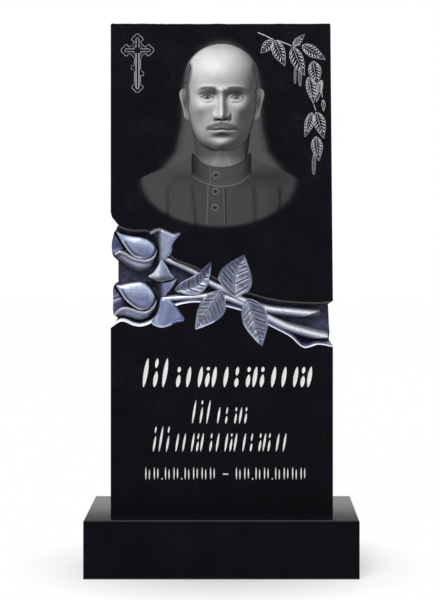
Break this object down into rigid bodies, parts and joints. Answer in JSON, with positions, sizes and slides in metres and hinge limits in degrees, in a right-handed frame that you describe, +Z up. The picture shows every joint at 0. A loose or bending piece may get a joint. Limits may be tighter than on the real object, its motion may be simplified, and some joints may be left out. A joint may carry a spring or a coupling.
{
  "type": "headstone",
  "caption": "Upright black granite headstone on a low plinth, with a carved rose band, an etched portrait, cross and branch, and rows of blank marks.",
  "frame": {"origin": "centre of the plinth's underside", "axes": "+Z up along the stele, +X to the right as seen from the front, -Y towards the viewer, out of the carved face"},
  "size_m": [0.549, 0.2, 1.113],
  "materials": {
    "stele_granite": "polished black gabbro, with a carved band rubbed to a silvery satin and pictures pecked grey in the polish",
    "plinth_granite": "polished black gabbro on the front, top and ends"
  },
  "bodies": {
    "root": {"stele": "stele_granite", "plinth": "plinth_granite"}
  },
  "joints": []
}
